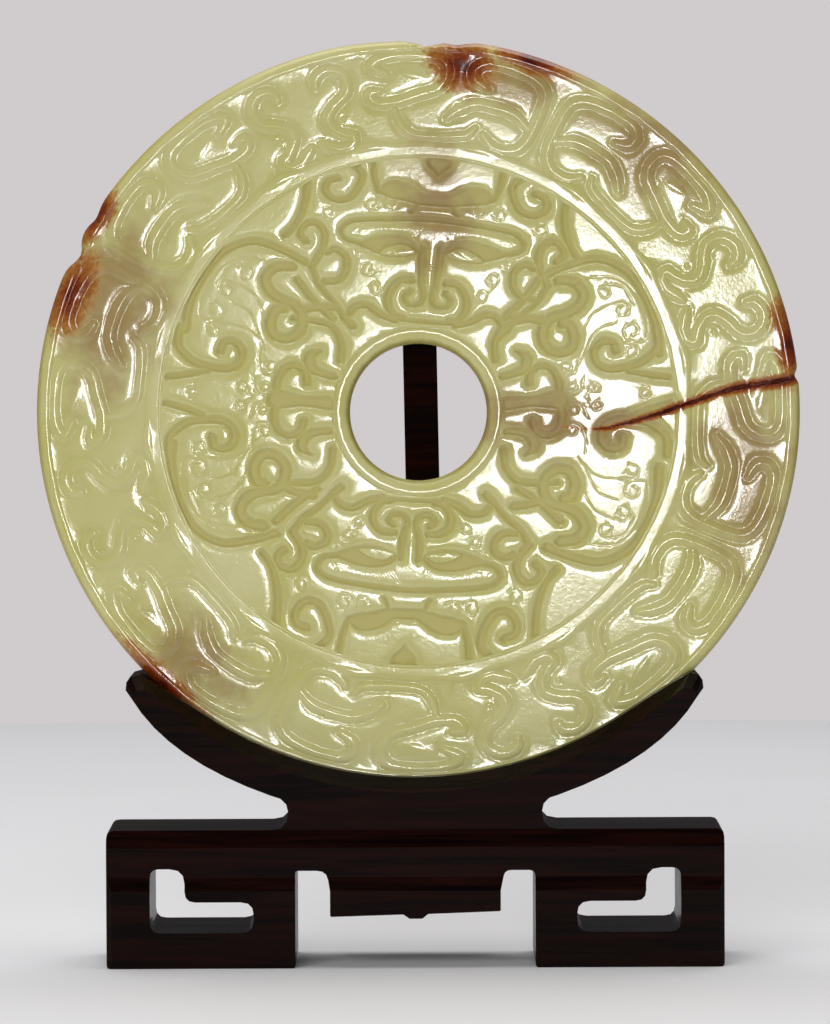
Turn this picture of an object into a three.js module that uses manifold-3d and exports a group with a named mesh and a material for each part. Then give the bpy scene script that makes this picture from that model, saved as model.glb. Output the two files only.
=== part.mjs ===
// A carved jade bi disc standing in its hardwood cradle.
// Millimetres, +Z up. The carved face looks along -Y. The origin is on the table, under the middle
// of the disc. Three loose pieces: the disc, the stand it rests in and the strip that backs it up.

import * as THREE from 'three';
import { mergeVertices } from 'three/addons/utils/BufferGeometryUtils.js';
import Module from 'manifold-3d';

const wasm = await Module();
wasm.setup();

const { degToRad, lerp } = THREE.MathUtils;

// ---- Driving dimensions -------------------------------------------------------------------

// The disc: slightly wider than tall, with a round bore.
const DISC_RADIUS = 89.7;
const DISC_FLATTENING = 0.022; // how much lower than wide the rim is
const DISC_THICKNESS = 10;
const DISC_LEAN = degToRad(2.3); // leans back against its strip
const DISC_SIDES = 56;
const DISC_FOOT_Z = 41.4; // the lowest point of the rim, down in the cradle

// Rings on the disc, as fractions of its radius.
const BORE = 0.18;
const BORE_BEVEL = 0.196;
const BORE_RING = 0.2206;
const RING_LINE = 0.678;
const BAND_INNER = 0.712;
const BAND_OUTER = 0.97;
const LINE_WIDTH = 0.006;
const RIM_SHOULDER = 0.99;
const RIM_SHOULDER_DEPTH = 0.4;
const RIM_EDGE_DEPTH = 2.3;
const BORE_BEVEL_DEPTH = 1.1;
const LINE_DEPTH = 0.45;

// The carving.
const BAND_DEPTH = 0.7; // the outer band's ground lies this far below the face
const RIBBON_HEIGHT = 0.65;
const RIBBON_WIDTH = 0.033;
const CHANNEL_DEPTH = 0.8;
const CHANNEL_WIDTH = 0.03;
const CARVING_TAPER = 0.4;
const STEPS_PER_POINT = 0.7; // how finely a carved line is stepped
const CUT_CLEARANCE = 0.4; // how far a cutter reaches past the surface it cuts

// Damage, in degrees clockwise from the top: where the rim has lost stone.
const LOSSES = [
  { angle: 1.5, half: 2.2, depth: 1.6 },
  { angle: 6, half: 2, depth: 1.1 },
  { angle: 84.6, half: 0.8, depth: 0.7 },
  { angle: 295.4, half: 2, depth: 1.9 },
  { angle: 302, half: 1.6, depth: 0.8 },
];
const CRACK_WIDTH = 0.018;
const CRACK_DEPTH = 1.2;

// The stand: one plank, cut out as a fretted bench with a cradle on top.
const STAND_SHIFT = -1.2; // the disc sits a little right of the middle of the stand
const STAND_HALF = 72.1;
const STAND_DEPTH = 36;
const BEAM_TOP = 32.1;
const BEAM_UNDER = 22.7;
const BEAM_BEVEL = 4;
const BEAM_SETBACK = 1; // the beam's front lies behind the feet and the apron
const BEAM_TOP_SETBACK = 3;
const FRET_BEVEL_TOP = 21.2;
const FRET_BEVEL_FOOT = 18;
const END_BEVEL = 1.2;
const FOOT_INNER = 28;
const WINDOW_OUTER = 61.9;
const WINDOW_SLOT = 53.8;
const WINDOW_INNER = 37.7;
const WINDOW_TOP = 23.2;
const WINDOW_SHELF = 15.5;
const WINDOW_FLOOR = 8.3;
const APRON_HALF = 19.9;
const APRON_FOOT_LEFT = 12;
const APRON_FOOT_RIGHT = 13.2;
const APRON_DROP = 1;

// The cradle: two arms that rise along the rim.
const CRADLE_DEPTH = 30;
const CRADLE_LAP = 0.0275; // how far it laps up over the disc, as a fraction of the radius
const CRADLE_BEVEL = 3.2;
const CRADLE_BEVEL_DEPTH = 5;
const CRADLE_NECK = 29.6;
const ARM_ARC_HALF = 50;
const ARM_TIP = { x: 64.4, z: 68.2 };
const ARM_END = { x: 67.6, z: 64.6 };
const ARM_BELLY = { x: 57.5, z: 48.6 }; // the underside of an arm bends towards this point
const ARM_ARC_STEPS = 18;
const NECK_FILLET = 4;

// The strip behind the disc, housed in the cradle.
const STRIP_WIDTH = 8;
const STRIP_THICKNESS = 6;
const STRIP_TILT = degToRad(-0.95);
const STRIP_SHIFT = 0.65; // to the right of the disc's middle, at the height of its middle
const STRIP_TOP = 44; // above the disc's middle
const STRIP_FOOT_Z = 31;
const STRIP_HOUSING = 1;

const GAP = 0.3; // between pieces that touch

// ---- Closed meshes and joining ------------------------------------------------------------

function signedVolume(points, faces) {
  const sum = faces.reduce((total, [a, b, c]) => {
    const cross = new THREE.Vector3().crossVectors(points[b], points[c]);
    return total + points[a].dot(cross);
  }, 0);
  return sum / 6;
}

// A solid from corner points and triangles; the triangles are turned outwards if they aren't.
function solidOf(points, faces) {
  const outward = signedVolume(points, faces) > 0;
  const turned = outward ? faces : faces.map(([a, b, c]) => [a, c, b]);
  const mesh = new wasm.Mesh({
    numProp: 3,
    vertProperties: new Float32Array(points.flatMap((p) => p.toArray())),
    triVerts: new Uint32Array(turned.flat()),
  });
  return new wasm.Manifold(mesh);
}

function solidOfGeometry(geometry) {
  const bare = geometry.clone();
  bare.deleteAttribute('normal');
  bare.deleteAttribute('uv');
  const merged = mergeVertices(bare, 1e-4);
  const mesh = new wasm.Mesh({
    numProp: 3,
    vertProperties: new Float32Array(merged.attributes.position.array),
    triVerts: new Uint32Array(merged.index.array),
  });
  return new wasm.Manifold(mesh);
}

function geometryOf(solid) {
  const mesh = solid.getMesh();
  const geometry = new THREE.BufferGeometry();
  geometry.setAttribute('position', new THREE.BufferAttribute(mesh.vertProperties, 3));
  geometry.setIndex(new THREE.BufferAttribute(mesh.triVerts, 1));
  geometry.computeVertexNormals();
  return geometry;
}

function moved(geometry, matrix) {
  return geometry.clone().applyMatrix4(matrix);
}

// Joins rings of equal length into a skin. `closed` joins the last ring to the first.
function skin(rings, closed) {
  const size = rings[0].length;
  const faces = [];
  const last = closed ? rings.length : rings.length - 1;
  for (let i = 0; i < last; i += 1) {
    const here = i * size;
    const next = ((i + 1) % rings.length) * size;
    for (let j = 0; j < size; j += 1) {
      const k = (j + 1) % size;
      faces.push([here + j, next + j, next + k]);
      faces.push([here + j, next + k, here + k]);
    }
  }
  return faces;
}

// Triangles over a flat outline, all turned the way the outline runs.
function capOf(outline) {
  const flat = outline.map(([x, z]) => new THREE.Vector2(x, z));
  const sense = Math.sign(THREE.ShapeUtils.area(flat));
  return THREE.ShapeUtils.triangulateShape([...flat], []).map(([a, b, c]) => {
    const turn = Math.sign(THREE.ShapeUtils.area([flat[a], flat[b], flat[c]]));
    return turn === sense ? [a, b, c] : [a, c, b];
  });
}

// ---- The disc's own coordinates -----------------------------------------------------------

// A point on the disc from a fraction of the radius and degrees clockwise from the top. Level is
// the height above the carved face. The rim is oval and the bore is round.
function discPoint(fraction, degrees, level) {
  const angle = degToRad(degrees);
  const flattening = (DISC_FLATTENING * (fraction - BORE)) / (1 - BORE);
  const x = DISC_RADIUS * fraction * Math.sin(angle);
  const z = DISC_RADIUS * fraction * Math.cos(angle) * (1 - flattening);
  return new THREE.Vector3(x, -DISC_THICKNESS / 2 - level, z);
}

function rimLoss(degrees) {
  return LOSSES.reduce((loss, { angle, half, depth }) => {
    const off = ((degrees - angle + 540) % 360) - 180;
    return loss + depth * Math.exp(-((off / half) ** 2));
  }, 0);
}

// Even steps round the disc, with extra ones at each loss.
function discAngles() {
  const step = 360 / DISC_SIDES;
  const angles = Array.from({ length: DISC_SIDES }, (_, i) => i * step);
  for (const { angle, half } of LOSSES) {
    for (const offset of [-1, 0, 1]) {
      angles.push(angle + offset * half);
    }
  }
  angles.sort((a, b) => a - b);
  return angles.filter((a, i) => i === 0 || a - angles[i - 1] > step / 8);
}

// The section of the disc, from the bore out over the face and back over the reverse. Each entry is
// a fraction of the radius and a depth below the face it is on.
const faceSection = [
  [BORE, BORE_BEVEL_DEPTH],
  [BORE_BEVEL, 0],
  [BORE_RING - LINE_WIDTH, 0],
  [BORE_RING, LINE_DEPTH],
  [BORE_RING + LINE_WIDTH, 0],
  [RING_LINE - LINE_WIDTH, 0],
  [RING_LINE, LINE_DEPTH],
  [RING_LINE + LINE_WIDTH, 0],
  [BAND_INNER - LINE_WIDTH / 2, 0],
  [BAND_INNER, BAND_DEPTH],
  [BAND_OUTER, BAND_DEPTH],
  [BAND_OUTER + LINE_WIDTH, 0],
  [RIM_SHOULDER, RIM_SHOULDER_DEPTH],
  [1, RIM_EDGE_DEPTH],
];
const reverseSection = [
  [1, RIM_EDGE_DEPTH],
  [RIM_SHOULDER, RIM_SHOULDER_DEPTH],
  [RIM_SHOULDER - LINE_WIDTH, 0],
  [BAND_INNER + LINE_WIDTH, 0],
  [BAND_INNER, LINE_DEPTH],
  [BAND_INNER - LINE_WIDTH, 0],
  [BORE_BEVEL, 0],
  [BORE, BORE_BEVEL_DEPTH],
];

function discBlank() {
  const section = [
    ...faceSection.map(([fraction, depth]) => [fraction, -depth]),
    ...reverseSection.map(([fraction, depth]) => [fraction, depth - DISC_THICKNESS]),
  ];
  const rings = discAngles().map((angle) => {
    const loss = rimLoss(angle) / DISC_RADIUS;
    return section.map(([fraction, level]) => {
      const share = Math.max(0, (fraction - BAND_OUTER) / (1 - BAND_OUTER));
      return discPoint(fraction - loss * share, angle, level);
    });
  });
  return solidOf(rings.flat(), skin(rings, true));
}

// ---- Carving strokes ----------------------------------------------------------------------

// A wedge along a line of [fraction, degrees] stations. The base is flat and the edge opposite it
// is the bottom of a channel or the crest of a ribbon. Open ends taper away.
function wedge(line, width, base, crest, closed) {
  const half = (width * DISC_RADIUS) / 2;
  const centre = line.map(([fraction, degrees]) => discPoint(fraction, degrees, 0));
  const rings = centre.map((point, i) => {
    const isEnd = !closed && (i === 0 || i === centre.length - 1);
    const before = centre[closed ? (i + centre.length - 1) % centre.length : Math.max(i - 1, 0)];
    const after = centre[closed ? (i + 1) % centre.length : Math.min(i + 1, centre.length - 1)];
    const along = new THREE.Vector3().subVectors(after, before).normalize();
    const reach = half * (isEnd ? CARVING_TAPER : 1);
    const side = new THREE.Vector3(-along.z, 0, along.x).multiplyScalar(reach);
    const edge = isEnd ? lerp(base, crest, 0.6) : crest;
    return [
      point.clone().add(side).setY(-DISC_THICKNESS / 2 - base),
      point.clone().sub(side).setY(-DISC_THICKNESS / 2 - base),
      point.clone().setY(-DISC_THICKNESS / 2 - edge),
    ];
  });
  const faces = skin(rings, closed);
  if (!closed) {
    const end = rings.length * 3;
    faces.push([0, 1, 2]);
    faces.push([end - 1, end - 2, end - 3]);
  }
  return solidOf(rings.flat(), faces);
}

// A smooth line through [x, y] points, stepped into [x, y] points again.
function smooth(points, closed = false) {
  const curve = new THREE.CatmullRomCurve3(
    points.map(([x, y]) => new THREE.Vector3(x, y, 0)),
    closed,
    'centripetal',
  );
  const steps = Math.round(points.length * STEPS_PER_POINT);
  const stations = curve.getPoints(steps).map((p) => [p.x, p.y]);
  return closed ? stations.slice(0, -1) : stations;
}

// The outer band: pairs of S-scrolls and pairs of posts take turns round the disc, and each half
// unit between two of these axes is the mirror image of the next.
const BAND_AXES = [-20.4, 24, 68, 114, 160, 206, 253, 297.6, 339.6];
const HALF_UNIT = 45.5;

// Lines as [units from the scroll axis, fraction of the radius].
const bandLines = {
  scroll: [
    [3.4, 0.905], [4, 0.932], [6, 0.945], [8.3, 0.928], [8.8, 0.893], [7.4, 0.858],
    [4, 0.822], [4.2, 0.785], [7.6, 0.755], [6.8, 0.729], [4.2, 0.727], [1.4, 0.75],
  ],
  hook: [
    [15.7, 0.905], [13.4, 0.93], [15.6, 0.951], [19.7, 0.955], [24.4, 0.948], [26, 0.915],
    [24.8, 0.866], [20.7, 0.842], [16.3, 0.825], [13, 0.832], [12.4, 0.857],
  ],
  arch: [
    [42.4, 0.806], [38.8, 0.83], [32.7, 0.834], [29.2, 0.814], [26.8, 0.785],
  ],
  post: [
    [33.3, 0.88], [31, 0.897], [30.8, 0.928], [33, 0.949], [37.5, 0.947], [41.6, 0.933],
    [43.4, 0.895], [43.5, 0.8], [42.4, 0.748], [39.5, 0.727], [36.4, 0.731], [34.4, 0.755],
  ],
};

function bandStations(points, unit) {
  const from = BAND_AXES[unit];
  const to = BAND_AXES[unit + 1];
  const scrollFirst = unit % 2 === 0;
  return smooth(points).map(([along, fraction]) => {
    const share = along / HALF_UNIT;
    return [fraction, lerp(from, to, scrollFirst ? share : 1 - share)];
  });
}

function bandRibbons() {
  const base = -BAND_DEPTH - CUT_CLEARANCE;
  const crest = RIBBON_HEIGHT - BAND_DEPTH;
  const width = RIBBON_WIDTH * (1 + CUT_CLEARANCE / RIBBON_HEIGHT);
  const ribbons = [];
  for (let unit = 0; unit < BAND_AXES.length - 1; unit += 1) {
    for (const points of Object.values(bandLines)) {
      ribbons.push(wedge(bandStations(points, unit), width, base, crest, false));
    }
  }
  return ribbons;
}

// The inner zone: four ornaments on their own axes, each mirrored about its axis. Lines are
// [across, outward] from the middle of the disc, as fractions of the radius.
const MASK_AXES = [5, 183.5];
const CREST_AXES = [86, 277];

// A beast mask, nose towards the bore.
const maskLines = [
  [[0.018, 0.41], [0.018, 0.35], [0.012, 0.315], [0.018, 0.288], [0.04, 0.282], [0.056, 0.3]],
  [[0.035, 0.338], [0.065, 0.345], [0.092, 0.32], [0.098, 0.285], [0.085, 0.25], [0.06, 0.235]],
  [[0.085, 0.25], [0.12, 0.247], [0.17, 0.282], [0.215, 0.255], [0.255, 0.295], [0.295, 0.33]],
  [
    [0.275, 0.31], [0.235, 0.32], [0.208, 0.35], [0.215, 0.388], [0.25, 0.4], [0.272, 0.375],
  ],
  [[0.295, 0.33], [0.3, 0.37], [0.272, 0.42], [0.285, 0.462], [0.32, 0.472], [0.338, 0.443]],
  [[0.33, 0.56], [0.305, 0.612], [0.255, 0.625], [0.215, 0.598], [0.22, 0.558], [0.255, 0.548]],
  [[0.025, 0.45], [0.05, 0.47], [0.11, 0.468], [0.16, 0.457], [0.212, 0.459]],
  [[0.004, 0.6], [0.05, 0.612], [0.09, 0.635], [0.14, 0.625], [0.155, 0.585]],
];
const maskEye = [
  [0.038, 0.408], [0.06, 0.436], [0.095, 0.442], [0.13, 0.438], [0.155, 0.425], [0.12, 0.402],
  [0.085, 0.392], [0.055, 0.394],
];

// A crest of scrolls with two wings.
const crestLines = [
  [
    [0.155, 0.635], [0.1, 0.6], [0.078, 0.55], [0.075, 0.5], [0.088, 0.468], [0.122, 0.46],
    [0.148, 0.488], [0.14, 0.52],
  ],
  [[0.17, 0.615], [0.25, 0.585], [0.33, 0.52], [0.37, 0.45], [0.365, 0.395]],
  [
    [0.345, 0.37], [0.332, 0.418], [0.29, 0.43], [0.255, 0.405], [0.238, 0.362], [0.205, 0.336],
    [0.16, 0.342], [0.145, 0.38], [0.17, 0.41], [0.208, 0.396],
  ],
  [
    [0.013, 0.235], [0.013, 0.29], [0.012, 0.345], [0.04, 0.368], [0.075, 0.355], [0.085, 0.32],
    [0.06, 0.296],
  ],
  [[0.065, 0.228], [0.073, 0.25], [0.085, 0.285], [0.112, 0.3], [0.142, 0.285], [0.148, 0.26]],
  [[0.32, 0.345], [0.27, 0.3], [0.225, 0.245], [0.18, 0.222], [0.12, 0.228]],
];

function zoneStations(points, axis, mirror, closed) {
  return smooth(points, closed).map(([across, outward]) => {
    const fraction = Math.hypot(across, outward);
    const off = THREE.MathUtils.radToDeg(Math.atan2(across * mirror, outward));
    return [fraction, axis + off];
  });
}

function zoneChannels() {
  const width = CHANNEL_WIDTH * (1 + CUT_CLEARANCE / CHANNEL_DEPTH);
  const channels = [];
  const carve = (points, axis, mirror, closed) => {
    const stations = zoneStations(points, axis, mirror, closed);
    channels.push(wedge(stations, width, CUT_CLEARANCE, -CHANNEL_DEPTH, closed));
  };
  for (const mirror of [1, -1]) {
    for (const axis of MASK_AXES) {
      maskLines.forEach((points) => carve(points, axis, mirror, false));
      carve(maskEye, axis, mirror, true);
    }
    for (const axis of CREST_AXES) {
      crestLines.forEach((points) => carve(points, axis, mirror, false));
    }
  }
  return channels;
}

// The open crack that runs in from the right edge, [fraction, degrees].
const crackLine = [
  [1.02, 84.6], [0.94, 85.4], [0.842, 85.9], [0.709, 88.4], [0.62, 91], [0.54, 93.6], [0.476, 95.7],
];

function crackCutter() {
  return wedge(crackLine, CRACK_WIDTH, CUT_CLEARANCE, -CRACK_DEPTH, false);
}

function carvedDisc() {
  const grounded = discBlank();
  const raised = wasm.Manifold.union([grounded, ...bandRibbons()]);
  const cuts = wasm.Manifold.union([...zoneChannels(), crackCutter()]);
  return geometryOf(raised.subtract(cuts));
}

// Where the disc stands: its lowest point in the cradle, its top leaning back.
function discPlace() {
  const halfHeight = DISC_RADIUS * (1 - DISC_FLATTENING);
  const up = new THREE.Vector3(0, Math.sin(DISC_LEAN), Math.cos(DISC_LEAN));
  const place = new THREE.Matrix4().makeRotationX(-DISC_LEAN);
  return place.setPosition(up.multiplyScalar(halfHeight).add(new THREE.Vector3(0, 0, DISC_FOOT_Z)));
}

// ---- Outlines -----------------------------------------------------------------------------

// A closed path through corners [x, z, radius], each corner rounded to its radius.
function roundedPath(corners, PathClass) {
  const path = new PathClass();
  corners.forEach(([x, z, radius], i) => {
    const corner = new THREE.Vector2(x, z);
    const [px, pz] = corners[(i + corners.length - 1) % corners.length];
    const [nx, nz] = corners[(i + 1) % corners.length];
    const towards = (tx, tz) => new THREE.Vector2(tx, tz).sub(corner).setLength(radius).add(corner);
    const start = radius ? towards(px, pz) : corner;
    if (i === 0) path.moveTo(start.x, start.y);
    else path.lineTo(start.x, start.y);
    if (radius) {
      const end = towards(nx, nz);
      path.quadraticCurveTo(x, z, end.x, end.y);
    }
  });
  path.closePath();
  return path;
}

const mirrored = (corners) => corners.map(([x, z, radius]) => [-x, z, radius]).reverse();

// A plate cut to an outline in X and Z, from the front at -depth / 2 to the back.
function plate(shape, depth, curveSegments = 3) {
  const geometry = new THREE.ExtrudeGeometry(shape, { depth, bevelEnabled: false, curveSegments });
  geometry.rotateX(Math.PI / 2);
  geometry.translate(0, depth / 2, 0);
  return solidOfGeometry(geometry);
}

// ---- The fretted bench --------------------------------------------------------------------

// The L-shaped opening in the left foot.
const footWindow = [
  [-WINDOW_OUTER, WINDOW_FLOOR, 2.5],
  [-WINDOW_INNER, WINDOW_FLOOR, 3],
  [-WINDOW_INNER, WINDOW_SHELF, 3],
  [-WINDOW_SLOT, WINDOW_SHELF, 2.5],
  [-WINDOW_SLOT, WINDOW_TOP, 3.5],
  [-WINDOW_OUTER, WINDOW_TOP, 2],
];

// Front outline of beam, feet and apron, from the left foot round under the beam.
const benchOutline = [
  [-STAND_HALF, 0, 0.8],
  [-FOOT_INNER, 0, 0.8],
  [-FOOT_INNER, BEAM_UNDER, 0.6],
  [-APRON_HALF - 0.8, BEAM_UNDER, 2.2],
  [-APRON_HALF, FRET_BEVEL_FOOT, 0],
  [-APRON_HALF, APRON_FOOT_LEFT, 0.4],
  [-2.8, APRON_FOOT_LEFT + 0.5, 0],
  [-1.4, APRON_FOOT_LEFT + 0.5 - APRON_DROP, 0],
  [1.6, APRON_FOOT_LEFT + 0.5 - APRON_DROP, 0],
  [3, APRON_FOOT_LEFT + 0.6, 0],
  [APRON_HALF, APRON_FOOT_RIGHT, 0.4],
  [APRON_HALF, FRET_BEVEL_FOOT, 0],
  [APRON_HALF + 1, BEAM_UNDER, 1.4],
  [FOOT_INNER, BEAM_UNDER, 1.5],
  [FOOT_INNER, 0, 0.8],
  [STAND_HALF, 0, 0.8],
  [STAND_HALF, BEAM_TOP, 1.8],
  [-STAND_HALF, BEAM_TOP, 1.8],
];

// The bench's side profile in [y, z]: a bevelled top, a beam face and a bevel down to the feet.
function benchProfile() {
  const front = -STAND_DEPTH / 2;
  const back = STAND_DEPTH / 2;
  const shape = new THREE.Shape();
  shape.moveTo(front, -1);
  shape.lineTo(front, FRET_BEVEL_FOOT);
  shape.lineTo(front + BEAM_SETBACK, FRET_BEVEL_TOP);
  shape.lineTo(front + BEAM_SETBACK, BEAM_TOP - BEAM_BEVEL);
  shape.lineTo(front + BEAM_TOP_SETBACK, BEAM_TOP);
  shape.lineTo(front + BEAM_TOP_SETBACK, BEAM_TOP + 1);
  shape.lineTo(back - BEAM_TOP_SETBACK, BEAM_TOP + 1);
  shape.lineTo(back - BEAM_TOP_SETBACK, BEAM_TOP);
  shape.lineTo(back, BEAM_TOP - BEAM_BEVEL);
  shape.lineTo(back, -1);
  shape.closePath();
  const length = 2 * STAND_HALF + 4;
  const geometry = new THREE.ExtrudeGeometry(shape, { depth: length, bevelEnabled: false });
  const turn = new THREE.Matrix4().makeBasis(
    new THREE.Vector3(0, 1, 0),
    new THREE.Vector3(0, 0, 1),
    new THREE.Vector3(1, 0, 0),
  );
  geometry.applyMatrix4(turn);
  geometry.translate(-length / 2, 0, 0);
  return solidOfGeometry(geometry);
}

// The bench seen from above: its four upright corners are bevelled.
function benchPlan() {
  const x = STAND_HALF;
  const y = STAND_DEPTH / 2;
  const shape = new THREE.Shape();
  shape.moveTo(-x, -y + END_BEVEL);
  shape.lineTo(-x + END_BEVEL, -y);
  shape.lineTo(x - END_BEVEL, -y);
  shape.lineTo(x, -y + END_BEVEL);
  shape.lineTo(x, y - END_BEVEL);
  shape.lineTo(x - END_BEVEL, y);
  shape.lineTo(-x + END_BEVEL, y);
  shape.lineTo(-x, y - END_BEVEL);
  shape.closePath();
  const geometry = new THREE.ExtrudeGeometry(shape, { depth: BEAM_TOP + 4, bevelEnabled: false });
  geometry.translate(0, 0, -2);
  return solidOfGeometry(geometry);
}

function bench() {
  const outline = roundedPath(benchOutline, THREE.Shape);
  outline.holes.push(roundedPath(footWindow, THREE.Path));
  outline.holes.push(roundedPath(mirrored(footWindow), THREE.Path));
  return plate(outline, STAND_DEPTH).intersect(benchProfile()).intersect(benchPlan());
}

// ---- The cradle ---------------------------------------------------------------------------

const cradleCentreZ = DISC_FOOT_Z + DISC_RADIUS * (1 - DISC_FLATTENING);

// Points along a quadratic curve, without its first point.
function bend(from, control, to, steps) {
  const curve = new THREE.QuadraticBezierCurve(
    new THREE.Vector2(...from),
    new THREE.Vector2(...control),
    new THREE.Vector2(...to),
  );
  return curve.getPoints(steps).slice(1).map((p) => [p.x, p.y]);
}

// The right half of the cradle's outline, from the middle of its arc out to the tip and back in to
// the beam. The inset draws the upper edge in, for the bevel along it.
function cradleHalf(inset) {
  const radiusX = DISC_RADIUS * (1 - CRADLE_LAP) + inset;
  const radiusZ = DISC_RADIUS * (1 - DISC_FLATTENING - CRADLE_LAP) + inset;
  const arcZ = (x) => cradleCentreZ - radiusZ * Math.sqrt(1 - (x / radiusX) ** 2);
  const steps = ARM_ARC_STEPS / 2;
  const arc = Array.from({ length: steps + 1 }, (_, i) => {
    const x = (i / steps) * ARM_ARC_HALF;
    return [x, arcZ(x)];
  });
  const shoulder = arc[steps];
  const tip = [ARM_TIP.x - 0.5 * inset, ARM_TIP.z - inset];
  const end = [ARM_END.x - 0.5 * inset, ARM_END.z - 0.5 * inset];
  const heel = [CRADLE_NECK + NECK_FILLET, BEAM_TOP + 2 * NECK_FILLET];
  const neck = [CRADLE_NECK, BEAM_TOP + NECK_FILLET];
  const toe = [CRADLE_NECK + NECK_FILLET, BEAM_TOP];
  return [
    ...arc,
    ...bend(shoulder, [ARM_BELLY.x, shoulder[1] + 5], tip, 3),
    ...bend(tip, [ARM_END.x + 0.3 - 0.5 * inset, ARM_TIP.z - 0.3 - inset], end, 3),
    ...bend(end, [ARM_BELLY.x, ARM_BELLY.z], heel, 8),
    ...bend(heel, [CRADLE_NECK, heel[1] - 0.6], neck, 3),
    ...bend(neck, [CRADLE_NECK, BEAM_TOP], toe, 3),
    [toe[0], BEAM_TOP - 1],
  ];
}

function cradleOutline(inset) {
  const right = cradleHalf(inset);
  const left = right.slice(1).map(([x, z]) => [-x, z]).reverse();
  return [...right, ...left];
}

// The cradle as layers from front to back; only the bevelled layers have the inset outline.
function cradleBlock() {
  const half = CRADLE_DEPTH / 2;
  const layers = [
    [-half, CRADLE_BEVEL],
    [-half + CRADLE_BEVEL_DEPTH, 0],
    [half - CRADLE_BEVEL_DEPTH, 0],
    [half, CRADLE_BEVEL],
  ];
  const rings = layers.map(([y, inset]) => cradleOutline(inset).map(([x, z]) => {
    return new THREE.Vector3(x, y, z);
  }));
  const faces = skin(rings, false);
  const size = rings[0].length;
  const last = (rings.length - 1) * size;
  for (const [a, b, c] of capOf(cradleOutline(CRADLE_BEVEL))) {
    faces.push([a, b, c]);
    faces.push([last + a, last + c, last + b]);
  }
  return solidOf(rings.flat(), faces);
}

// The groove that the disc's edge stands in.
function grooveCutter() {
  const ring = (y) => Array.from({ length: DISC_SIDES }, (_, i) => {
    const angle = (i / DISC_SIDES) * 2 * Math.PI;
    const x = (DISC_RADIUS + GAP) * Math.sin(angle);
    const z = (DISC_RADIUS * (1 - DISC_FLATTENING) + GAP) * Math.cos(angle);
    return new THREE.Vector3(x, y, z);
  });
  const half = DISC_THICKNESS / 2 + GAP;
  const rings = [ring(-half), ring(half)];
  const faces = skin(rings, false);
  for (let i = 2; i < DISC_SIDES; i += 1) {
    faces.push([0, i - 1, i]);
    faces.push([DISC_SIDES, DISC_SIDES + i, DISC_SIDES + i - 1]);
  }
  rings.flat().forEach((point) => point.applyMatrix4(discPlace()));
  return solidOf(rings.flat(), faces);
}

// ---- The strip behind the disc ------------------------------------------------------------

// The strip leans with the disc and tilts a little sideways. Its foot is sunk in the cradle.
function stripPlace() {
  const tilt = new THREE.Matrix4().makeRotationY(STRIP_TILT);
  const shift = new THREE.Matrix4().makeTranslation(STRIP_SHIFT, 0, 0);
  return discPlace().multiply(shift).multiply(tilt);
}

function stripGeometry(spare) {
  const halfHeight = DISC_RADIUS * (1 - DISC_FLATTENING);
  const foot = DISC_FOOT_Z - STRIP_FOOT_Z + halfHeight + spare;
  const half = STRIP_WIDTH / 2 + spare;
  const corner = spare ? 0 : STRIP_WIDTH / 4;
  const shape = roundedPath([
    [-half, -foot, 0],
    [half, -foot, 0],
    [half, STRIP_TOP + spare, corner],
    [-half, STRIP_TOP + spare, corner],
  ], THREE.Shape);
  const depth = STRIP_THICKNESS + 2 * spare;
  const geometry = new THREE.ExtrudeGeometry(shape, {
    depth, bevelEnabled: false, curveSegments: 4,
  });
  geometry.rotateX(Math.PI / 2);
  geometry.translate(0, DISC_THICKNESS / 2 + STRIP_HOUSING + STRIP_THICKNESS + spare, 0);
  return moved(geometry, stripPlace());
}

function standGeometry() {
  const shift = new THREE.Matrix4().makeTranslation(STAND_SHIFT, 0, 0);
  const wood = bench().add(cradleBlock());
  const placed = solidOfGeometry(moved(geometryOf(wood), shift));
  const housing = solidOfGeometry(stripGeometry(GAP));
  return geometryOf(placed.subtract(grooveCutter()).subtract(housing));
}

// ---- The pieces ---------------------------------------------------------------------------

const jade = new THREE.MeshStandardMaterial({ color: 0xb4b878, roughness: 0.25, metalness: 0 });
const rosewood = new THREE.MeshStandardMaterial({ color: 0x2c1612, roughness: 0.4, metalness: 0 });

function piece(name, geometry, material) {
  const mesh = new THREE.Mesh(geometry, material);
  mesh.name = name;
  return mesh;
}

const group = new THREE.Group();
group.add(piece('jade_disc', moved(carvedDisc(), discPlace()), jade));
group.add(piece('stand', standGeometry(), rosewood));
group.add(piece('back_strip', stripGeometry(0), rosewood));

export default group;
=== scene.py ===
"""A carved jade bi disc in its rosewood stand, finished round its fixed frame.

The frame gives each piece's place. This file carves the disc, softens and finishes the wood, and
sets a plain stage. The carved face looks along -Y. Lengths in the carving are millimetres on the
disc, and everything handed to Blender is in metres.
"""

import math

import bmesh
import bpy
import numpy as np
from mathutils import Matrix, Quaternion, Vector


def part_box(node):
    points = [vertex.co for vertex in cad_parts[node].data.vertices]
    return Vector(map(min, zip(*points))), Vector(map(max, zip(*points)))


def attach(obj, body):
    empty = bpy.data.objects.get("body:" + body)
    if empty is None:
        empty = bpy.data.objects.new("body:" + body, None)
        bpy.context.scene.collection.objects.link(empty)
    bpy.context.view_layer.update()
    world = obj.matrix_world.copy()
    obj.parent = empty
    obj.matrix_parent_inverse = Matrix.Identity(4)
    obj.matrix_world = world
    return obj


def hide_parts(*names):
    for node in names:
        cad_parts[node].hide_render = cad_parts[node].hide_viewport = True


bl_info = {
    "name": "Jade bi disc",
    "version": (1, 0, 0),
    "blender": (4, 5, 0),
    "location": "3D View > Sidebar > Bi disc",
    "description": "Carves a jade disc, finishes its rosewood stand and sets a plain stage",
    "category": "Object",
}

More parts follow.
